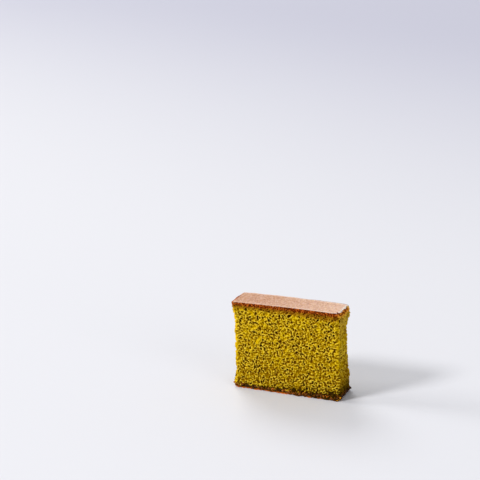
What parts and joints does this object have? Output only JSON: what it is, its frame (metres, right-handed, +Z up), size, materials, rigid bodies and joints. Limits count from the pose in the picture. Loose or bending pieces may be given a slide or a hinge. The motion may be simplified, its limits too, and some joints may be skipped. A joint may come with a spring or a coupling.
{
  "type": "castella sponge cake slice",
  "caption": "Thick upright slice of green tea castella sponge: browned top crust, fine open crumb on both cut faces, and a dark syrup-soaked foot set with coarse sugar.",
  "frame": {"origin": "middle of the slice's box in plan, on the surface that it stands on", "axes": "+X along the slice, from one side of the loaf to the other; +Y through its thickness, from one cut face to the other; +Z up, from the sugared foot to the crust"},
  "size_m": [0.0678, 0.0204, 0.0531],
  "materials": {
    "castella_cake": "open matte crumb under a browned satin crust",
    "coarse_sugar": "amber, half clear, glossy"
  },
  "bodies": {
    "root": {"castella_slice": "castella_cake"}
  },
  "joints": []
}
